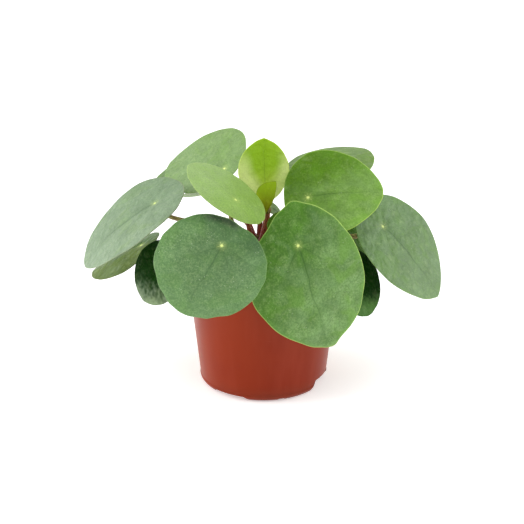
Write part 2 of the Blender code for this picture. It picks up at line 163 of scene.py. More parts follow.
# What sets each leaf apart; the others look as the defaults say
LOOKS = {
    "upper_left": dict(
        near=rgb(120, 152, 84), far=rgb(127, 157, 98), turn=60, edge_highlight_strength=0.25, patchy=0.7, veins=0.3,
        fan=0.3),
    "far_left": dict(
        near=rgb(114, 139, 104), far=rgb(129, 150, 120), turn=60, rim=rgb(134, 138, 104), patchy=0.6,
        veins=1.9, fan=0.3, eye=0.8, stout=1.25),
    # Its darker half, turned away, is painted shade under the leaf above; its paler half, turned to the
    # front, is painted sheen
    "lower_left": dict(
        near=rgb(54, 88, 0), far=rgb(88, 106, 38), turn=90, start=-0.1, end=0.12, rim=rgb(96, 104, 50),
        patchy=1.2, veins=0.8, kind="vivid"),
    # Painted shade: nearly black green where it lies under the leaves above, turning to a pale painted
    # sheen towards the tip
    "low_left": dict(
        near=rgb(6, 42, 0), far=rgb(134, 150, 122), turn=12, start=0.46, end=0.88, ragged=0.13,
        patchy=0.5, gritty=0.5, rim=rgb(70, 96, 50), veins=0.5, kind="dark"),
    # Darker above the joint, where the top tilts back, as painted shade; its margin has painted sheen and
    # its turned-down top edge painted shade
    "front_left": dict(
        near=rgb(43, 82, 32), far=rgb(90, 126, 72), start=-0.5, end=0.1, margin=0.25, curl=0.92,
        rim=rgb(132, 168, 92), edge_highlight_strength=0.35, patchy=0.6, gritty=1.5, veins=0.9, fan=1.6, wavy=2.2),
    "pale_young": dict(
        near=rgb(141, 177, 81), far=rgb(152, 184, 108), patchy=0.4, rim=rgb(184, 204, 124), veins=0.1,
        fan=0.1, stout=1.3, swells=((-60, 45, 2.8),), kind="young"),
    # Its bright yellow-green stands in for light through the thin young blade, and its pale flanks are
    # painted sheen
    "top_young": dict(
        near=rgb(206, 228, 90), far=rgb(160, 204, 36), start=-0.15, end=0.45, sides=rgb(232, 250, 158),
        flank_sheen_strength=0.9, patchy=0.15, gritty=0.4, veins=0.35, fan=0.3, eye=0.0, rim=rgb(206, 222, 80),
        widen=1.09, kind="young"),
    "folded_young": dict(
        near=rgb(122, 104, 0), far=rgb(148, 180, 0), patchy=0.1, gritty=0.3, veins=0.0, fan=0.0, eye=0.0,
        rim=rgb(96, 104, 0), folded=True, stout=2.1, kind="young"),
    # Darker by the stem and lighter towards the tip: painted shading
    "upper_right": dict(
        near=rgb(88, 131, 0), far=rgb(132, 172, 84), turn=-50, start=-0.4, end=0.7, rim=rgb(166, 200, 92),
        edge_highlight_strength=0.8, veins=0.9, fan=0.5, kind="vivid"),
    "behind_right": dict(near=rgb(94, 126, 46), far=rgb(104, 136, 56), veins=0.5),
    # Darker towards the stem end and lighter towards the tip: painted shading
    "front_right": dict(
        near=rgb(78, 122, 36), far=rgb(118, 154, 90), turn=50, start=-0.35, end=0.6, patchy=1.1,
        gritty=1.3, rim=rgb(172, 206, 104), edge_highlight_strength=0.85, veins=1.3, fan=1.9, wavy=1.4,
        swells=((4, 3, 1.5), (-135, 32, -2.6)), kind="vivid"),
    "far_right": dict(
        near=rgb(102, 136, 80), far=rgb(98, 131, 74), edge_highlight_strength=0.3, veins=1.5, fan=0.4, eye=0.8,
        stout=1.5),
    # Painted shade: nearly black green where it lies under the leaves above, turning lighter towards the
    # tip as painted light
    "low_right": dict(
        near=rgb(4, 41, 0), far=rgb(80, 118, 60), turn=-10, start=0.42, end=0.84, ragged=0.13, patchy=0.5,
        gritty=0.5, rim=rgb(40, 80, 30), veins=0.5, kind="dark"),
    "behind_left": dict(near=rgb(96, 126, 66), far=rgb(104, 134, 76)),
    "mid_right": dict(near=rgb(50, 88, 0), far=rgb(66, 104, 10), kind="dark"),
    "small_back": dict(near=rgb(132, 152, 108), far=rgb(160, 180, 140), widen=0.75, kind="young"),
    "small_front": dict(near=rgb(66, 98, 0), far=rgb(76, 112, 10), kind="dark"),
}
# Roughness and specular level of the upper side of each kind. The dark kind is a shaded copy for leaves
# that lie in shade: its specular level is so low that they reflect almost none of the bright surroundings.
GLOSS = {"mature": (0.44, 0.36), "vivid": (0.42, 0.14), "dark": (0.5, 0.02), "young": (0.42, 0.2)}
LEAF_NAMES = sorted(name[:-len("_blade")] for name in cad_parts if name.endswith("_blade"))


def look_of(name):
    return {**LOOK_DEFAULTS, **LOOKS.get(name, {})}


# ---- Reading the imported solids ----

def welded(node):
    """The node's solid as a bmesh with shared corners."""
    solid = bmesh.new()
    solid.from_mesh(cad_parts[node].data)
    bmesh.ops.remove_doubles(solid, verts=solid.verts, dist=WELD_DISTANCE * MM)
    solid.verts.index_update()
    return solid


def layers_from(start):
    """Groups of vertices by how many edges they lie from the start."""
    layer, seen, layers = list(start), set(start), []
    while layer:
        layers.append(layer)
        following = {edge.other_vert(vert) for vert in layer for edge in vert.link_edges} - seen
        seen |= following
        layer = sorted(following, key=lambda vert: vert.index)
    return layers


def rod_stations(start):
    """Middle and radius, in mm, of each ring of a rod's vertices, from the ring it starts with."""
    stations = []
    for layer in layers_from(start):
        middle = sum((vert.co for vert in layer), Vector()) / len(layer)
        radius = max((vert.co - middle).length for vert in layer)
        stations.append((np.array(middle) / MM, radius / MM))
    return stations


def read_stalk(name, blade_end):
    """Stations of a leaf stalk, from the stem to the blade."""
    solid = welded(name + "_stalk")
    tip = Vector(blade_end) * MM
    end = sorted(solid.verts, key=lambda vert: (vert.co - tip).length)[:SOLID_STALK_SIDES]
    stations = rod_stations(end)
    solid.free()
    return stations[::-1]


def read_stem():
    """Stations of the stem, from its foot up."""
    solid = welded("stem")
    low = min(vert.co.z for vert in solid.verts)
    stations = rod_stations([vert for vert in solid.verts if vert.co.z < low + LEVEL_TOLERANCE * MM])
    solid.free()
    return stations


def read_blade(name):
    """Joint, axes (forward, left, up) and the upper side's samples, rings by segments, in mm."""
    solid = welded(name + "_blade")
    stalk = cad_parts[name + "_stalk"].data.vertices
    hubs = [vert for vert in solid.verts if len(vert.link_edges) == SOLID_SEGMENTS]
    # The stalk comes from below, so the upper side's hub is the one further from it
    below, hub = sorted(hubs, key=lambda end: min((vert.co - end.co).length for vert in stalk))
    joint = hub.co.copy()
    up = np.array((joint - below.co).normalized())
    rings = [np.array([(vert.co - joint) / MM for vert in layer])
             for layer in layers_from([hub])[:SOLID_RINGS + 1]]
    solid.free()
    margin = rings[-1]
    forward = margin[np.argmax(norm(margin - np.outer(margin @ up, up), axis=1))]
    forward = forward - up * (forward @ up)
    forward /= norm(forward)
    axes = np.array((forward, np.cross(up, forward), up))
    samples = [np.zeros((SOLID_SEGMENTS, 3))]
    for ring in rings[1:]:
        local = ring @ axes.T
        angle = np.arctan2(local[:, 1], local[:, 0])
        order = np.argsort(np.where(angle < -1e-4, angle + FULL_TURN, angle))
        samples.append(local[order])
    return np.array(joint) / MM, axes, np.array(samples)


# ---- Smooth shapes ----

def smooth_step(low, high, value):
    share = np.clip((value - low) / (high - low), 0.0, 1.0)
    return share * share * (3 - 2 * share)


def closed_spline(samples, count):
    """Smooth closed curve through evenly spaced samples (along axis 1), at count places round it."""
    total = samples.shape[1]
    wave = 2 / 3 + np.cos(FULL_TURN * np.arange(total) / total) / 3
    weights = np.fft.ifft(np.fft.fft(samples, axis=1) / wave[None, :, None], axis=1).real
    place = np.arange(count) * total / count
    cell = np.floor(place).astype(int)
    t = (place - cell)[None, :, None]
    basis = ((1 - t) ** 3 / 6, (3 * t ** 3 - 6 * t ** 2 + 4) / 6,
             (-3 * t ** 3 + 3 * t ** 2 + 3 * t + 1) / 6, t ** 3 / 6)
    return sum(part * weights[:, (cell - 1 + k) % total] for k, part in enumerate(basis))


def open_spline(points, count):
    """Smooth line through points, at count even places, and how far along it they are."""
    points = np.array(points)
    lengths = np.concatenate([[0], np.cumsum(norm(np.diff(points, axis=0), axis=1))])
    slopes = np.gradient(points, lengths, axis=0)
    places = np.linspace(0, lengths[-1], count)
    cell = np.clip(np.searchsorted(lengths, places, side="right") - 1, 0, len(points) - 2)
    span = (lengths[cell + 1] - lengths[cell])[:, None]
    t = (places - lengths[cell])[:, None] / span
    line = ((2 * t ** 3 - 3 * t ** 2 + 1) * points[cell] + (t ** 3 - 2 * t ** 2 + t) * span * slopes[cell]
            + (3 * t ** 2 - 2 * t ** 3) * points[cell + 1] + (t ** 3 - t ** 2) * span * slopes[cell + 1])
    return line, places


def along_rays(samples, shares):
    """Cubic through a blade's rings along each ray, at shares of the way out."""
    knots = np.linspace(0.0, 1.0, len(samples))
    parts = []
    for k, knot in enumerate(knots):
        others = np.delete(knots, k)
        parts.append(np.prod([(shares - other) / (knot - other) for other in others], axis=0))
    return np.einsum("kr,ksc->rsc", np.array(parts), samples)


def fan_place(ahead, left, reach):
    """Which main vein a place lies near: whole numbers are veins. Also its distance from the joint."""
    distance = np.hypot(ahead, left)
    bend = 1 - VEIN_SWEEP * np.clip(distance / reach, 0, 1)
    return np.arctan2(left, ahead) / bend * MAIN_VEINS / FULL_TURN, distance


def soft_noise(points, seed, size):
    """Smooth noise of about -1 to 1 at each (x, y), with lumps of a size in mm."""
    shift = 31.7 * seed
    flat = points.reshape(-1, 2) / size
    values = [noise.noise((x + shift, y - shift, 0.37 * seed)) for x, y in flat]
    return np.array(values).reshape(points.shape[:-1])


def circle(radius, count):
    """Points (x, y) round the axis."""
    return [(radius * cos(turn), radius * sin(turn)) for turn in FULL_TURN * np.arange(count) / count]


def tube_frames(path):
    """Two directions across a path at each of its points, without twist."""
    tangents = np.gradient(path, axis=0)
    tangents /= norm(tangents, axis=1, keepdims=True)
    side = np.cross(tangents[0], (0.31, 0.82, 0.47))    # any direction that no path starts along
    sides = []
    for tangent in tangents:
        side = side - tangent * (side @ tangent)
        side = side / norm(side)
        sides.append(side)
    return np.array(sides), np.cross(tangents, np.array(sides))


# ---- Objects ----

def link_object(name, data):
    obj = bpy.data.objects.new(name, data)
    bpy.context.scene.collection.objects.link(obj)
    return obj


def new_object(name, points, faces, materials, indexes=None):
    """A mesh object from points in mm, with its materials and each face's material number."""
    mesh = bpy.data.meshes.new(name)
    mesh.from_pydata((np.asarray(points) * MM).tolist(), [], faces)
    for material in materials:
        mesh.materials.append(material)
    if indexes is not None:
        mesh.polygons.foreach_set("material_index", indexes)
    mesh.shade_smooth()
    return link_object(name, mesh)


def set_attribute(obj, name, values):
    """Numbers, vectors or colours at each vertex, for the material's nodes to read."""
    values = np.asarray(values, dtype=np.float32)
    width = values.shape[1] if values.ndim == 2 else 1
    kind, slot = {1: ("FLOAT", "value"), 3: ("FLOAT_VECTOR", "vector"), 4: ("FLOAT_COLOR", "color")}[width]
    obj.data.attributes.new(name, kind, "POINT").data.foreach_set(slot, values.ravel())


def closed_faces(rings, count, start, first, last):
    """Faces of a closed skin: rings of vertices from a start number, and one vertex at each end."""
    base = start + (rings - 1) * count
    faces = [(first, start + k, start + (k + 1) % count) for k in range(count)]
    for near in range(start, base, count):
        far = near + count
        faces += [(near + k, far + k, far + (k + 1) % count, near + (k + 1) % count) for k in range(count)]
    return faces + [(last, base + (k + 1) % count, base + k) for k in range(count)]


def build_tube(name, path, radii, sides, material):
    """A closed tube along a path in mm. The middles of its two ends are its last vertices."""
    count = len(path)
    across, over = tube_frames(path)
    turn = FULL_TURN * np.arange(sides) / sides
    ring = across[:, None] * np.cos(turn)[None, :, None] + over[:, None] * np.sin(turn)[None, :, None]
    points = (path[:, None] + ring * np.asarray(radii).reshape(count, -1, 1)).reshape(-1, 3)
    faces = closed_faces(count, sides, 0, count * sides, count * sides + 1)
    faces = [face[::-1] for face in faces]
    return new_object(name, np.vstack([points, path[0], path[-1]]), faces, [material])


def finish_piece(obj, node):
    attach(obj, "root")
    if node:
        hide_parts(node)


# ---- Materials ----

class Wire:
    """A number or colour that a node gives. Arithmetic with it adds Math nodes."""

    def __init__(self, nodes, socket):
        self.nodes, self.socket = nodes, socket

    def __add__(self, other):
        return self.nodes.math("ADD", self, other)

    def __sub__(self, other):
        return self.nodes.math("SUBTRACT", self, other)

    def __rsub__(self, other):
        return self.nodes.math("SUBTRACT", other, self)

    def __mul__(self, other):
        return self.nodes.math("MULTIPLY", self, other)

    def __truediv__(self, other):
        return self.nodes.math("DIVIDE", self, other)

    def step(self, low, high, start, end):
        """Smooth change from start to end as the number goes from low to high."""
        return self.nodes.node("ShaderNodeMapRange", 0, {0: self, 1: low, 2: high, 3: start, 4: end},
                               interpolation_type="SMOOTHSTEP")

    def rise(self, low, high, amount=1.0):
        return self.step(low, high, 0.0, amount)

    def fall(self, low, high, amount=1.0):
        return self.step(low, high, amount, 0.0)


class Nodes:
    """A node tree, with a short call for each kind of node."""

    def __init__(self, tree):
        self.tree = tree

    def put(self, value, socket):
        if isinstance(value, Wire):
            self.tree.links.new(value.socket, socket)
        elif isinstance(value, tuple):
            socket.default_value = (*value, 1.0)
        elif value is not None:
            socket.default_value = value

    def node(self, kind, output, inputs, **settings):
        """What a new node gives at an output, with values or wires at its inputs."""
        node = self.tree.nodes.new(kind)
        for key, value in settings.items():
            setattr(node, key, value)
        for key, value in inputs.items():
            self.put(value, node.inputs[key])
        return Wire(self, node.outputs[output])

    def attribute(self, name, output="Fac"):
        return self.node("ShaderNodeAttribute", output, {}, attribute_name=name)

    def here(self):
        """Place on the object, in metres."""
        return self.node("ShaderNodeTexCoord", "Object", {})

    def spot(self):
        """The parts of the piece's own place attribute."""
        return self.split(self.attribute("spot", "Vector"))

    def split(self, vector):
        first = self.node("ShaderNodeSeparateXYZ", 0, {0: vector})
        return [Wire(self, output) for output in first.socket.node.outputs]

    def join(self, x, y, z=0.0):
        return self.node("ShaderNodeCombineXYZ", 0, {0: x, 1: y, 2: z})

    def math(self, operation, a, b=None):
        return self.node("ShaderNodeMath", 0, {0: a, 1: b}, operation=operation)

    def noise(self, vector, scale, detail=3.0, roughness=0.5, distortion=0.0):
        return self.node("ShaderNodeTexNoise", "Fac", {
            "Vector": vector, "Scale": scale, "Detail": detail, "Roughness": roughness,
            "Distortion": distortion})

    def cells(self, vector, scale, feature="F1"):
        inputs = {"Vector": vector, "Scale": scale}
        return self.node("ShaderNodeTexVoronoi", "Distance", inputs, feature=feature)

    def mix(self, share, a, b, blend="MIX"):
        return self.node("ShaderNodeMix", 2, {0: share, 6: a, 7: b}, data_type="RGBA", blend_type=blend)


class Skin(Nodes):
    """A material under construction. Coats of colour and bumps are laid one over another."""

    def __init__(self, name, roughness, specular):
        self.material = bpy.data.materials.new(name)
        self.material.use_nodes = True
        super().__init__(self.material.node_tree)
        self.shader = self.tree.nodes["Principled BSDF"].inputs
        self.put(roughness, self.shader["Roughness"])
        self.put(specular, self.shader["Specular IOR Level"])
        self.paint = self.bumps = None

    def coat(self, share, paint):
        """Lay paint over the colour so far, by a share that the node keeps between 0 and 1."""
        self.paint = self.mix(share, self.paint, paint)
        self.put(self.paint, self.shader["Base Color"])

    def roughness(self, value):
        self.put(value, self.shader["Roughness"])

    def relief(self, height, strength, distance):
        """Raise the surface over the relief so far."""
        self.bumps = self.node("ShaderNodeBump", 0, {
            "Strength": strength, "Distance": distance, "Height": height, "Normal": self.bumps})
        self.put(self.bumps, self.shader["Normal"])


def vein_lines(skin, ahead, left, wide):
    """Main veins that fan out from the joint: line is 1 on a vein, gap the distance from it in mm, off the
    same as a share of the fan, reach the distance from the joint, and midrib is 1 by the midrib."""
    reach = skin.math("SQRT", ahead * ahead + left * left)
    wobble = skin.noise(skin.join(ahead, left), 0.05, 2.0)
    turn = skin.math("ARCTAN2", left, ahead) / (1.0 - reach * (VEIN_SWEEP / USUAL_REACH))
    place = (turn + (wobble - 0.5) * 0.2) * (MAIN_VEINS / FULL_TURN)
    off = skin.math("ABSOLUTE", place - skin.math("ROUND", place))
    gap = off * reach * (FULL_TURN / MAIN_VEINS)
    return SimpleNamespace(reach=reach, off=off, gap=gap, line=gap.fall(wide * 0.3, wide),
                           midrib=skin.math("ABSOLUTE", place).fall(0.4, 0.6))


def leaf_textures(skin, ahead, left, leaf):
    """Patterns on a blade, different on each leaf. Their scales are for each mm."""
    flat = skin.join(ahead, left, leaf)
    strayed = skin.join(ahead + skin.noise(flat, 0.25) * 3.0, left + skin.noise(flat, 0.31) * 3.0, leaf)
    return SimpleNamespace(
        blisters=skin.cells(strayed, 0.17, "DISTANCE_TO_EDGE"),
        wrinkles=skin.cells(flat, 0.7, "DISTANCE_TO_EDGE"),
        specks=skin.cells(flat, 0.75),
        clusters=skin.noise(flat, 0.1, 2.0),
        cloud=skin.noise(flat, 0.1, 3.0, 0.55, 0.4),
        mottle=skin.noise(flat, 0.26, 2.0, 0.55, 0.4),
        grain=skin.noise(flat, 0.95, 3.0, 0.65),
        hue=skin.noise(flat, 0.075, 2.0, 0.5, 0.6),
        breaks=skin.noise(flat, 0.55))


def paint_ground(skin, tone, deep, texture):
    """Patches, wrinkles and grain in darker and paler tones, with greyish bloom and fresher green."""
    patchy, gritty = skin.attribute("patchy"), skin.attribute("gritty")
    pale = skin.mix(0.42, tone, rgb(200, 220, 156))
    fresh = skin.mix(1.0, tone, (0.8, 1.0, 0.28), "MULTIPLY")
    bloom = skin.mix(0.5, tone, rgb(152, 178, 150))
    blisters = texture.blisters.rise(0.04, 0.38) * texture.cloud.rise(0.4, 0.58) * 0.22
    skin.paint = tone
    skin.coat(texture.cloud.fall(0.38, 0.62, 0.3) * patchy, deep)
    skin.coat(blisters * patchy, pale)
    skin.coat(texture.mottle.fall(0.34, 0.56, 0.16) * patchy, deep)
    skin.coat(texture.mottle.rise(0.54, 0.76, 0.08) * patchy, pale)
    skin.coat(texture.wrinkles.fall(0.0, 0.12, 0.14) * gritty, deep)
    skin.coat(texture.grain.fall(0.38, 0.54, 0.44) * gritty, deep)
    skin.coat(texture.grain.rise(0.52, 0.72, 0.2) * gritty, pale)
    skin.coat(texture.hue.fall(0.36, 0.5, 0.32) * patchy, fresh)
    skin.coat(texture.hue.rise(0.5, 0.66, 0.12) * patchy, bloom)


def paint_crease_shade(skin, ahead, veins, texture, deep):
    """Painted shade in the creases over the veins: dark lines, clearest by the joint and along the midrib,
    with softer painted shade beside them. Gives their strength.
    """
    lateral = veins.reach.step(6.0, 22.0, 0.32, 0.06) * skin.attribute("fan")
    lateral = lateral * ahead.step(-3.0, 5.0, 0.25, 1.0)
    central = veins.reach.step(16.0, 50.0, 0.5, 0.16) * skin.attribute("veins")
    clear = (lateral + veins.midrib * central) * texture.mottle.step(0.34, 0.56, 0.55, 1.0)
    shade = (veins.line + veins.gap.fall(0.3, 2.6, 0.5)) * veins.reach.rise(1.2, 3.0)
    skin.coat(shade * clear, deep)
    return shade


def paint_specks(skin, texture):
    """Clusters of tiny bright pores."""
    bright = texture.specks.fall(0.05, 0.13, 0.7) * texture.clusters.rise(0.5, 0.64)
    skin.coat(bright * skin.attribute("gritty"), rgb(222, 232, 204))


def paint_eye(skin, veins, texture):
    """The pale eye over the stalk, with short rays along the veins and a faint halo."""
    rays = veins.off.fall(0.03, 0.14) * veins.reach.fall(0.8, 4.2, 0.85)
    rays = rays * texture.breaks.rise(0.4, 0.62)
    eye = skin.math("MAXIMUM", veins.reach.fall(0.4, 1.5), rays)
    eye = skin.math("MAXIMUM", eye, veins.reach.fall(0.8, 4.5, 0.13))
    skin.coat(eye * skin.attribute("tone", "Alpha"), rgb(222, 238, 140))


def paint_edge_highlight(skin, inwards, tone, texture):
    """Painted highlight along the edge: a brighter green band inside the margin, and the fine pale line
    along it.
    """
    rim, strength = skin.attribute("rim", "Color"), skin.attribute("rim", "Alpha")
    band = (inwards + texture.cloud * 6.0).fall(3.2, 7.0, 0.4)
    skin.coat(band * strength, skin.mix(0.5, tone, rim, "SOFT_LIGHT"))
    line = (inwards + texture.mottle * 0.5).fall(0.35, 0.75)
    skin.coat(line * strength, rim)


def leaf_material(kind):
    """Upper side of a blade. Its nodes read spot (ahead, left, distance in from the margin) and tone."""
    gloss, specular = GLOSS[kind]
    skin = Skin(kind + "_leaf_skin", gloss, specular)
    ahead, left, inwards = skin.spot()
    veins = vein_lines(skin, ahead, left, 0.5)
    texture = leaf_textures(skin, ahead, left, skin.attribute("leaf"))
    tone = skin.attribute("tone", "Color")
    deep = skin.mix(0.6, tone, (0.018, 0.075, 0.008))
    paint_ground(skin, tone, deep, texture)
    crease = paint_crease_shade(skin, ahead, veins, texture, deep)
    paint_specks(skin, texture)
    paint_eye(skin, veins, texture)
    paint_edge_highlight(skin, inwards, tone, texture)
    skin.roughness((texture.grain + texture.cloud * 0.4).step(0.4, 1.0, gloss - 0.1, gloss + 0.12))
    skin.relief(texture.blisters.rise(0.0, 0.4) + texture.mottle * 1.2, 0.5, 0.45 * MM)
    crease = crease * (veins.midrib * 0.5 + 0.3) * -1.0
    skin.relief(crease + texture.wrinkles.rise(0.0, 0.3, 0.25) + texture.grain * 0.5, 0.4, 0.3 * MM)
    return skin.material


def underside_material():
    """Lower side of a blade: paler and duller, with the veins standing proud."""
    skin = Skin("leaf_underside", 0.55, 0.35)
    ahead, left, inwards = skin.spot()
    flat = skin.join(ahead, left, skin.attribute("leaf"))
    veins = vein_lines(skin, ahead, left, 0.9)
    net = skin.cells(flat, 0.3, "DISTANCE_TO_EDGE")
    grain = skin.noise(flat, 1.2, 4.0, 0.65)
    skin.paint = skin.mix(0.55, skin.attribute("tone", "Color"), rgb(150, 176, 122))
    skin.coat(grain.fall(0.3, 0.75, 0.18), rgb(70, 96, 48))
    skin.coat(net.fall(0.0, 0.1, 0.3), rgb(186, 204, 150))
    skin.coat(veins.line * veins.reach.step(4.0, 45.0, 0.75, 0.25), rgb(190, 206, 142))
    skin.coat(veins.reach.fall(1.2, 4.5, 0.7), rgb(176, 170, 96))
    # Painted highlight along the edge, in the rim colour
    skin.coat(inwards.fall(0.3, 0.9, 0.6), skin.attribute("rim", "Color"))
    skin.relief(veins.line + net.fall(0.0, 0.2, 0.4) + grain * 0.3, 0.4, 0.3 * MM)
    return skin.material


def stalk_material():
    """Leaf stalk: dark red by the stem, green by the blade, with fine lengthwise streaks."""
    skin = Skin("leaf_stalk_skin", 0.38, 0.45)
    along, round_it, _ = skin.spot()
    leaf = skin.attribute("leaf")
    spot = skin.join(along, round_it, leaf)
    streak = skin.noise(skin.join(along * 0.12, round_it, leaf), 2.2, 4.0, 0.6)
    ripe = skin.attribute("share") + (skin.noise(spot, 0.22, 3.0, 0.6) - 0.5) * 0.35
    skin.paint = rgb(150, 46, 32)
    skin.coat(ripe.rise(0.15, 0.48), rgb(170, 108, 66))
    skin.coat(ripe.rise(0.45, 0.85), rgb(164, 156, 96))
    skin.coat(streak.fall(0.38, 0.62, 0.55), rgb(96, 26, 18))
    skin.coat(skin.cells(spot, 1.3).fall(0.05, 0.2, 0.35), rgb(190, 170, 120))
    skin.roughness(streak.step(0.3, 0.7, 0.32, 0.5))
    skin.relief(streak, 0.3, 0.15 * MM)
    return skin.material


def stem_material():
    """Young bark: brown over green, ringed by old leaf scars."""
    skin = Skin("stem_bark", 0.78, 0.3)
    place = skin.here()
    coarse = skin.noise(place, 260.0, 5.0, 0.65)
    fine = skin.noise(place, 1400.0, 4.0, 0.7)
    height = skin.split(place)[2]
    rings = skin.math("SINE", height * 1900.0 + coarse * 7.0)
    skin.paint = rgb(78, 50, 30)
    skin.coat(coarse.rise(0.35, 0.65), rgb(112, 92, 50))
    skin.coat(rings.rise(0.5, 1.0, 0.55), rgb(150, 124, 86))
    skin.coat(fine.fall(0.3, 0.7, 0.45), rgb(36, 22, 14))
    skin.relief(rings * 0.5 + fine, 0.7, 0.4 * MM)
    return skin.material


def soil_material(name, dark, light):
    """Peat: dark fibres and crumbs, dull and rough."""
    skin = Skin(name, 0.95, 0.15)
    place = skin.here()
    coarse = skin.noise(place, 220.0, 6.0, 0.7)
    fine = skin.noise(place, 1500.0, 5.0, 0.75)
    crumbs = skin.cells(place, 700.0)
    skin.paint = dark
    skin.coat(coarse.rise(0.35, 0.68), light)
    skin.coat(fine.fall(0.32, 0.7, 0.6), tuple(0.4 * part for part in dark))
    skin.coat(fine.rise(0.66, 0.8, 0.4), rgb(140, 110, 80))
    skin.roughness(fine.step(0.3, 0.7, 0.82, 1.0))
    skin.relief(fine - crumbs, 0.9, 0.8 * MM)
    return skin.material


def pot_material():
    """Moulded terracotta-coloured plastic: satin, with faint flow marks, scuffs and dust."""
    skin = Skin("moulded_pot", 0.36, 0.15)
    place = skin.here()
    x, y, height = skin.split(place)
    drift = skin.noise(place, 18.0)
    mould = skin.noise(place, 1900.0, 3.0, 0.6)
    flow = skin.noise(skin.join(x * 60.0, y * 60.0, height * 6.0), 1.0, 4.0, 0.6)
    scuff = skin.noise(skin.join(x * 30.0, y * 30.0, height * 620.0), 1.0, 5.0, 0.75)
    skin.paint = rgb(137, 41, 0)
    skin.coat(drift.rise(0.3, 0.7), rgb(130, 35, 0))
    skin.coat(flow.rise(0.4, 0.7, 0.16), rgb(168, 74, 54))
    skin.coat(scuff.rise(0.66, 0.8, 0.22), rgb(196, 120, 100))
    skin.coat(skin.cells(place, 170.0).fall(0.02, 0.07, 0.5), rgb(90, 40, 30))
    skin.coat(height.fall(0.0, 0.012, 0.35) * drift.rise(0.35, 0.6), rgb(112, 62, 46))
    skin.roughness((flow + scuff * 0.6).step(0.5, 1.1, 0.29, 0.37))
    skin.relief(mould + flow * 1.5, 0.12, 0.2 * MM)
    return skin.material


# ---- Leaves ----

def fold_over(blade):
    """Narrow the left half of a half-open young leaf and slope its top edge down to the left."""
    ahead, left = blade[:, :, 0], blade[:, :, 1]
    ahead -= 0.3 * (left - left.min()) * smooth_step(0.0, 7.0, ahead)
    left[left > 0] *= 0.78


def swell_outline(blade, shares, swells):
    """Move parts of the outline out or in."""
    bearings = np.degrees(np.arctan2(blade[-1, :, 1], blade[-1, :, 0]))
    for bearing, spread, amount in swells:
        away = ((bearings - bearing + 180) % 360 - 180) / spread
        growth = amount * np.exp(-away ** 2) / norm(blade[-1, :, :2], axis=1)
        blade[:, :, :2] *= (1 + growth[None, :] * shares[:, None] ** 2)[:, :, None]


def ripple_margin(blade, shares, size, wavy, seed):
    """Waves in the outline, less towards the middle."""
    turns = FULL_TURN * np.arange(len(size)) / len(size)
    rng = random.Random(seed)
    ripple = sum(rng.uniform(0.4, 1.0) / count ** 0.5 * np.sin(count * turns + rng.uniform(0, FULL_TURN))
                 for count in RIPPLE_COUNTS)
    grow = (0.0045 * wavy * size.max() ** 0.5 * ripple)[None, :] * shares[:, None] ** 5
    blade[:, :, :2] *= (1 + grow * (10 / np.maximum(size, 10)))[:, :, None]


def lift_surface(blade, shares, reach, bulk, seed):
    """Fields raised between the veins, soft waves, and the dimple over the stalk."""
    place, distance = fan_place(blade[:, :, 0], blade[:, :, 1], reach)
    fields = (1 - np.cos(FULL_TURN * place)) / 2 * (1 - shares[:, None] ** 4)
    waves = soft_noise(blade[:, :, :2], seed, 24.0) * shares[:, None] ** 1.5
    blade[:, :, 2] += (0.32 * bulk * fields * smooth_step(3.0, 16.0, distance) + 0.7 * bulk * waves
                       - dimple_depth(bulk) * np.exp(-(distance / DIMPLE_RADIUS) ** 2))


def dimple_depth(bulk):
    return DIMPLE_DEPTH * min(1.0, bulk)


def upper_side(number, look, samples):
    """A blade's upper side as rings of points, each ring's share of the way out, and how far out the
    margin is along each ray."""
    small = np.abs(samples[-1][:, :2]).max() < SMALL_HALF_SIZE
    rings, segments = SMALL_GRID if small else FINE_GRID
    # Rings lie closer together by the joint and by the margin
    steps = np.linspace(0.0, 1.0, rings + 1)[1:]
    shares = 0.55 * steps + 0.45 * np.sin(steps * pi / 2)
    shares[0] *= 0.5
    blade = closed_spline(along_rays(samples, shares), segments)
    blade[:, :, 1] *= look["widen"]
    if look["folded"]:
        fold_over(blade)
    swell_outline(blade, shares, look["swells"])
    size = norm(blade[-1, :, :2], axis=1)
    ripple_margin(blade, shares, size, look["wavy"], number)
    lift_surface(blade, shares, size.max(), size.max() / USUAL_REACH, number + WAVE_SEED)
    return blade, shares, size


def rim_and_lower_side(blade, shares):
    """The ring along the blunt edge, and the lower side's rings."""
    outwards = np.gradient(blade, axis=0)
    round_it = (np.roll(blade, -1, axis=1) - np.roll(blade, 1, axis=1)) / 2
    normals = np.cross(outwards, round_it)
    normals /= norm(normals, axis=2, keepdims=True)
    thickness = EDGE_THICKNESS + (BLADE_THICKNESS - EDGE_THICKNESS) * (1 - shares ** 3)
    lower = blade - normals * thickness[:, None, None]
    rim_way = outwards[-1] / norm(outwards[-1], axis=1, keepdims=True)
    return (blade[-1] + lower[-1]) / 2 + rim_way * EDGE_THICKNESS * 0.4, lower


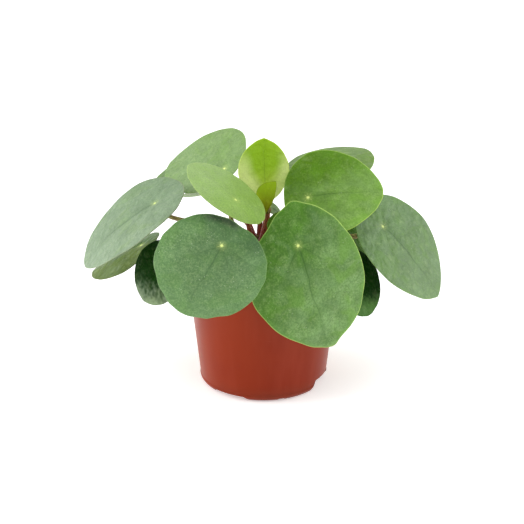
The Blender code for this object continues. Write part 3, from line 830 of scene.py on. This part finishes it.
def blade_tones(look, spots, towards, number):
    """Large-scale colour at each spot: a gradient that on several leaves is painted shading, pale flanks
    of painted sheen, soft patches, painted sheen on the margin and painted shade on the turned-down top
    edge.
    """
    reach = spots[0, 2]
    ahead, left = spots[:, 0] / reach, spots[:, 1] / reach
    turn = radians(look["turn"])
    run = ahead * cos(turn) + left * sin(turn)
    patches = soft_noise(spots[:, :2], number, 13.0)
    if look["ragged"]:
        run += look["ragged"] * soft_noise(spots[:, :2], number + RAGGED_SEED, 1.6)
    share = smooth_step(look["start"], look["end"], run + 0.22 * patches)[:, None]
    tones = np.array(look["near"]) * (1 - share) + np.array(look["far"]) * share
    # Painted sheen on the two flanks, fading towards the tip
    inner = np.minimum(0.08 + 0.37 * ahead, 0.28)
    flank_sheen = smooth_step(-0.12, 0.16, np.abs(left) - inner + 0.1 * patches)
    flank_sheen = (flank_sheen * look["flank_sheen_strength"] * (1 - smooth_step(0.45, 0.95, ahead)))[:, None]
    tones = tones * (1 - flank_sheen) + np.array(look["sides"]) * flank_sheen
    light = 1 + 0.16 * look["patchy"] * soft_noise(spots[:, :2], number + LIGHT_SEED, 8.0)
    # Painted sheen on the margin, added to the random lightness
    light += look["margin"] * smooth_step(0.45, 0.02, spots[:, 2] / reach)
    # Painted shade on the turned-down edge at the top, close to the margin where it faces up
    shade = look["curl"] * smooth_step(6.0, 1.5, spots[:, 2])
    shade *= smooth_step(0.7, 0.95, towards[:, 2] + 0.12 * towards[:, 0])
    return tones * np.clip(light, 0.5, 1.6)[:, None] * (1 - shade[:, None] * np.array([0.95, 0.85, 1.0]))


def build_leaf(number, name, materials):
    """The fine blade of one leaf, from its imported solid. Gives the place where its stalk ends."""
    joint, axes, samples = read_blade(name)
    look = look_of(name)
    blade, shares, size = upper_side(number, look, samples)
    rim, lower = rim_and_lower_side(blade, shares)
    rings, segments = blade.shape[:2]
    hub = np.array([[0.0, 0.0, -dimple_depth(size.max() / USUAL_REACH)]])
    points = np.vstack([hub, blade.reshape(-1, 3), rim, lower[::-1].reshape(-1, 3),
                        hub - (0, 0, BLADE_THICKNESS)])
    faces = closed_faces(2 * rings + 1, segments, 1, 0, len(points) - 1)
    upper_count = segments * (rings + 1)
    indexes = [0] * upper_count + [1] * (len(faces) - upper_count)
    obj = new_object(name + "_leaf", joint + points @ axes, faces,
                     [materials[look["kind"]], materials["under"]], indexes)

    # Ahead, left and distance in from the margin, on the upper side; the rim and lower side take the same
    flat = np.concatenate([[[0.0, 0.0]], blade[:, :, :2].reshape(-1, 2)])
    inwards = np.concatenate([[size.max()], ((1 - shares[:, None]) * size[None, :]).ravel()])
    spots = np.column_stack([flat, inwards])
    # The way each spot lies from the joint, in the frame's axes
    towards = flat / np.maximum(norm(flat, axis=1), 1.0)[:, None] @ axes[:2]
    tones = blade_tones(look, spots, towards, number)
    # The painted highlight along the edge is clearest on the side turned to the right
    strength = look["edge_highlight_strength"] * np.clip(0.78 + 0.4 * towards[:, 0], 0.0, 1.0)
    ring_index = 1 + np.arange(rings * segments).reshape(rings, segments)
    order = np.concatenate([[0], ring_index.ravel(), ring_index[-1], ring_index[::-1].ravel(), [0]])

    def fill(value, width=1):
        return np.tile(value, (len(order), width))

    set_attribute(obj, "spot", spots[order])
    set_attribute(obj, "tone", np.column_stack([tones[order], fill(look["eye"])]))
    set_attribute(obj, "rim", np.column_stack([fill(look["rim"]), strength[order]]))
    set_attribute(obj, "leaf", fill(7.3 * number))
    for key in ("veins", "fan", "patchy", "gritty"):
        set_attribute(obj, key, fill(look[key]))
    finish_piece(obj, name + "_blade")
    return joint + (hub[0] - (0, 0, BLADE_THICKNESS / 2)) @ axes


def build_stalk(number, name, blade_end, material):
    """The fine leaf stalk: swollen where it leaves the stem, flared where it meets the blade."""
    stations = read_stalk(name, blade_end)
    middles = [middle for middle, _ in stations]
    first = middles[1] - middles[0]
    start = middles[0] - first / norm(first) * STALK_ROOT
    path, places = open_spline([start] + middles[:-1] + [blade_end], STALK_STATIONS)
    length = places[-1]
    share = places / length
    usual = stations[0][1] * (1 - share) + stations[-1][1] * share
    swell = 1 + 0.35 * np.exp(-places / 3.0) + 0.22 * smooth_step(26.0, 8.0, places)
    flare = 1 + 0.75 * np.exp(-(length - places) / 1.1)
    rng = random.Random(STALK_SEED + number)
    uneven = 1 + 0.05 * np.sin(places * rng.uniform(0.25, 0.5) + rng.uniform(0, 6))
    radii = usual * look_of(name)["stout"] * swell * flare * uneven
    obj = build_tube(name + "_petiole", path, radii, STALK_SIDES, material)

    across = 1.1 * np.cos(FULL_TURN * np.arange(STALK_SIDES) / STALK_SIDES)
    along = np.repeat(places, STALK_SIDES)
    spots = np.column_stack([along, np.tile(across, STALK_STATIONS), np.zeros(len(along))])
    shares = np.repeat(share, STALK_SIDES) * min(1.0, length / RIPE_STALK)
    set_attribute(obj, "spot", np.vstack([spots, spots[:1], spots[-1:]]))
    set_attribute(obj, "share", np.concatenate([shares, [0.0, 1.0]]))
    set_attribute(obj, "leaf", np.full(len(along) + 2, 5.1 * number))
    finish_piece(obj, name + "_stalk")


# ---- Stem and soil ----

def build_stem(material):
    """The stem with ridged bark."""
    stations = np.array([(*middle, radius) for middle, radius in read_stem()])
    heights = np.linspace(stations[0, 2], stations[-1, 2], STEM_STATIONS)
    lean = np.interp(heights, stations[:, 2], stations[:, 0])
    usual = np.interp(heights, stations[:, 2], stations[:, 3])
    rows = []
    for height, radius in zip(heights, usual):
        for x, y in circle(1.0, STEM_SIDES):
            lump = noise.noise((1.3 * x, 1.3 * y, height * 0.35))
            ridge = abs(noise.noise((3 * x, 3 * y, height * 0.9)))
            rows.append(radius * (1 + 0.12 * lump - 0.08 * ridge))
    path = np.column_stack([lean, np.zeros(STEM_STATIONS), heights])
    finish_piece(build_tube("stem_bark", path, rows, STEM_SIDES, material), "stem")


def soil_height(x, y, edge):
    """Uneven surface of the soil, in mm, settled a little at the wall and heaped at the stem."""
    away = hypot(x, y)
    lumps = 1.1 * noise.noise((x / 14, y / 14, 1.5)) + 0.8 * noise.noise((x / 5, y / 5, 4.2))
    crumbs = 0.55 * abs(noise.noise((x / 1.7, y / 1.7, 9.1)))
    heap = 1.2 * exp(-(away / 8) ** 2)
    return SOIL_LEVEL + (lumps + crumbs) * min(1.0, (edge - away) / 3 + 0.15) + heap


def build_soil(material, crumb_material, perlite_material):
    """The plug of soil, and the crumbs and perlite on it."""
    low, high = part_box("soil")
    edge, bottom = high.x / MM - 0.2, low.z / MM
    points = [(0.0, 0.0, soil_height(0, 0, edge))]
    points += [(x, y, soil_height(x, y, edge)) for ring in range(1, SOIL_RINGS + 1)
               for x, y in circle(edge * ring / SOIL_RINGS, SOIL_SEGMENTS)]
    lower_rings = ((edge + 0.1, SOIL_LEVEL - 2), (SOIL_FOOT_RADIUS, bottom + SOIL_STEP),
                   (30.0, bottom + SOIL_STEP), (28.0, bottom))
    points += [(x, y, height) for radius, height in lower_rings for x, y in circle(radius, SOIL_SEGMENTS)]
    points.append((0.0, 0.0, bottom))
    faces = closed_faces(SOIL_RINGS + len(lower_rings), SOIL_SEGMENTS, 1, 0, len(points) - 1)
    finish_piece(new_object("potting_soil", points, faces, [material]), "soil")
    for name, grains, skin in (("soil_crumbs", CRUMBS, crumb_material),
                               ("soil_perlite", PERLITE, perlite_material)):
        finish_piece(scatter_grains(name, *grains, edge, skin), None)


def scatter_grains(name, count, seed, sizes, edge, material):
    """Lumpy grains strewn over the soil, smaller ones more often."""
    rng = random.Random(seed)
    grain = bmesh.new()
    bmesh.ops.create_icosphere(grain, subdivisions=2, radius=1.0)
    shape = [vert.co.copy() for vert in grain.verts]
    shape_faces = [[vert.index for vert in face.verts] for face in grain.faces]
    grain.free()
    points, faces = [], []
    for number in range(count):
        away = edge * sqrt(rng.uniform(0.02, 0.93))
        angle = rng.uniform(0, FULL_TURN)
        size = sizes[0] + (sizes[1] - sizes[0]) * rng.random() ** 2
        away = min(away, edge - size)
        x, y = away * cos(angle), away * sin(angle)
        stretch = Matrix.Diagonal((rng.uniform(0.7, 1.5), rng.uniform(0.6, 1.0), rng.uniform(0.5, 0.9)))
        turned = Matrix.Rotation(rng.uniform(0, FULL_TURN), 3, "Z") @ stretch
        place = Vector((x, y, soil_height(x, y, edge) + 0.2 * size))
        faces += [[len(points) + k for k in face] for face in shape_faces]
        for corner in shape:
            rough = 1 + 0.35 * noise.noise(corner * 1.4 + Vector((number * 3.7, 0, 0)))
            points.append(place + turned @ (corner * rough * size))
    return new_object(name, points, faces, [material])


# ---- Pot ----

def wall_radius(height):
    return WALL_RADIUS_AT_GROUND + WALL_TAPER * height


def arc(away, height, radius, start, end, count):
    """Points (radius, height) round a middle; angles in degrees from straight out, upwards."""
    return [(away + radius * cos(angle), height + radius * sin(angle))
            for angle in np.radians(np.linspace(start, end, count + 1))]


def pot_profile(top):
    """The pot's section from the middle of its floor, up the inside, and down the outside."""
    inner_foot = wall_radius(0) - POT_WALL
    band = top - RIM_BAND_HEIGHT
    under_band = wall_radius(band)
    inside = FOOT_RADIUS - FOOT_RING_WIDTH
    outer_heights = (70, 66, 60, 52, 44, 36, 28, 20, 15, 12, *np.arange(10.0, CORNER_RADIUS, -0.6))
    corner = arc(FOOT_RADIUS, CORNER_RADIUS, CORNER_RADIUS, 0, -90, 12)
    return [
        # Floor and inner wall
        (0.0, FLOOR_TOP), (FLAT_FLOOR_RADIUS, FLOOR_TOP), (inner_foot - 2.4, FLOOR_TOP),
        *arc(inner_foot - 2.2, FLOOR_TOP + 2.6, 2.6, -80, -8, 6),
        *((wall_radius(height) - POT_WALL, height) for height in (12, 24, 36, 48, 60, 68)),
        # Rim band, wider than the wall, with a rolled lip
        (under_band - POT_WALL, band - 1.5), (under_band - POT_WALL + 0.5, band - 0.6),
        (wall_radius(top) - POT_WALL + 0.2, top - 1.0),
        *arc(RIM_RADIUS - 1.0, top - 0.75, 0.75, 165, 90, 4),
        *arc(RIM_RADIUS - 0.75, top - 0.75, 0.75, 80, 0, 4),
        (RIM_RADIUS - 0.25, top - 3.2), (RIM_RADIUS - 0.45, band + 1.1),
        *arc(RIM_RADIUS - 0.95, band + 0.75, 0.5, 0, -80, 4),
        (under_band + 0.35, band), (under_band + 0.05, band - 0.35),
        # Outer wall, finer where the notches are cut, with a rounded corner at the foot
        *((wall_radius(height), height) for height in outer_heights),
        *((radius + WALL_TAPER * height, height) for radius, height in corner),
        # Foot ring and underside of the floor
        (inside + 0.4, 0.0), (inside, 0.4), (inside - 0.3, 2.0), (inside - 0.6, FLOOR_UNDERSIDE - 0.4),
        (inside - 1.0, FLOOR_UNDERSIDE), (FLAT_FLOOR_RADIUS, FLOOR_UNDERSIDE), (0.0, FLOOR_UNDERSIDE)]


def notch_height(bearing):
    """How high the foot is cut away at a bearing from the front, in mm."""
    heights = []
    for middle, width, tall in FOOT_NOTCHES:
        away = abs((bearing - middle + 180) % 360 - 180)
        slope = width * (1 - NOTCH_TOP_SHARE) / 2
        heights.append(tall * np.clip((width / 2 - away) / slope, 0, 1))
    return max(heights)


def turned_pot(material):
    """The pot's section turned round the axis, with the notches in its foot."""
    profile = pot_profile(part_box("pot")[1].z / MM)
    lip = max(range(len(profile)), key=lambda k: profile[k][1])
    cuts = [notch_height(360 * k / POT_SEGMENTS) for k in range(POT_SEGMENTS)]
    points = []
    for number, (radius, height) in enumerate(profile[1:-1], 1):
        for (x, y), cut in zip(circle(radius, POT_SEGMENTS), cuts):
            if radius <= FOOT_RADIUS - FOOT_RING_WIDTH - 2.5:
                cut = 0.0
            elif cut and number < lip:
                cut += POT_WALL
            points.append((y, -x, max(height, cut)))
    points += [(0.0, 0.0, profile[0][1]), (0.0, 0.0, profile[-1][1])]
    rings = len(profile) - 2
    faces = closed_faces(rings, POT_SEGMENTS, 0, len(points) - 2, len(points) - 1)
    return new_object("turned_pot", points, faces, [material])


def drain_drill():
    """A rod through the floor at each drainage hole."""
    rods = bmesh.new()
    radius = DRAIN_HOLE_RADIUS * MM
    for distance, bearing in DRAIN_HOLES:
        turn = radians(bearing)
        place = Vector((distance * cos(turn), distance * sin(turn), FLOOR_UNDERSIDE + 0.6)) * MM
        bmesh.ops.create_cone(rods, cap_ends=True, segments=32, radius1=radius, radius2=radius,
                              depth=4 * MM, matrix=Matrix.Translation(place))
    mesh = bpy.data.meshes.new("drill")
    rods.to_mesh(mesh)
    rods.free()
    return link_object("drill", mesh)


def build_pot(material):
    """The moulded pot, turned finely, with its drainage holes cut through."""
    turned, drill = turned_pot(material), drain_drill()
    cut = turned.modifiers.new("drain_holes", "BOOLEAN")
    cut.solver = "EXACT"
    cut.object = drill
    mesh = bpy.data.meshes.new_from_object(turned.evaluated_get(bpy.context.evaluated_depsgraph_get()))
    for used in (turned, drill):
        bpy.data.objects.remove(used)
    # The cut leaves a few corners that nearly touch
    joined = bmesh.new()
    joined.from_mesh(mesh)
    bmesh.ops.remove_doubles(joined, verts=joined.verts, dist=JOIN_DISTANCE * MM)
    joined.to_mesh(mesh)
    joined.free()
    mesh.shade_smooth()
    mesh.set_sharp_from_angle(angle=radians(SHARP_EDGE))
    finish_piece(link_object("nursery_pot", mesh), "pot")


# ---- Stage ----

def build_floor():
    skin = Skin("pale_floor", 0.9, 0.1)
    skin.paint = (0.9, 0.9, 0.9)
    skin.coat(skin.noise(skin.here(), 1.5, 2.0), (0.93, 0.93, 0.93))
    skin.put((1.0, 1.0, 1.0), skin.shader["Emission Color"])
    skin.put(FLOOR_GLOW, skin.shader["Emission Strength"])
    corners = [(x * FLOOR_HALF_SIDE, y * FLOOR_HALF_SIDE, -FLOOR_DROP)
               for x, y in ((-1, -1), (1, -1), (1, 1), (-1, 1))]
    new_object("floor", corners, [(0, 1, 2, 3)], [skin.material])


def build_world():
    """White surroundings: bright above and behind, dimmer on the side in front."""
    world = bpy.data.worlds.new("studio")
    bpy.context.scene.world = world
    world.use_nodes = True
    nodes = Nodes(world.node_tree)
    background = nodes.tree.nodes["Background"].inputs
    depth = nodes.split(nodes.node("ShaderNodeTexCoord", "Generated", {}))[1]
    strength = nodes.node("ShaderNodeMapRange", 0, {0: depth, 1: -0.9, 2: 0.4, 3: 0.6, 4: 1.0})
    nodes.put((1.0, 1.0, 1.0), background["Color"])
    nodes.put(strength, background["Strength"])
    bpy.context.scene.view_settings.view_transform = "Standard"


def build_lights():
    for name, (size, power, place) in LIGHTS.items():
        light = bpy.data.lights.new(name, "AREA")
        light.shape = "DISK"
        light.size = size
        light.energy = power
        obj = link_object(name, light)
        obj.location = place
        obj.rotation_euler = (LIGHT_TARGET - Vector(place)).to_track_quat("-Z", "Y").to_euler()


def build_camera():
    tilt = radians(CAMERA_ELEVATION)
    forward = Vector((0.0, cos(tilt), -sin(tilt)))
    data = bpy.data.cameras.new("camera")
    data.sensor_width = SENSOR_WIDTH
    data.lens = PIXELS_PER_MM * CAMERA_DISTANCE / MM / PICTURE_SIDE * SENSOR_WIDTH
    camera = link_object("camera", data)
    camera.location = CAMERA_TARGET - forward * CAMERA_DISTANCE
    camera.rotation_euler = forward.to_track_quat("-Z", "Y").to_euler()
    bpy.context.scene.camera = camera


build_camera()
build_floor()
build_world()
build_lights()
leaf_materials = {kind: leaf_material(kind) for kind in GLOSS}
leaf_materials["under"] = underside_material()
stalk_skin = stalk_material()
for leaf_number, leaf_name in enumerate(LEAF_NAMES):
    stalk_top = build_leaf(leaf_number, leaf_name, leaf_materials)
    build_stalk(leaf_number, leaf_name, stalk_top, stalk_skin)
build_stem(stem_material())
build_soil(soil_material("peat", rgb(40, 28, 20), rgb(70, 50, 36)),
           soil_material("peat_crumb", rgb(52, 35, 24), rgb(88, 62, 42)),
           soil_material("perlite", rgb(196, 190, 180), rgb(226, 222, 214)))
build_pot(pot_material())
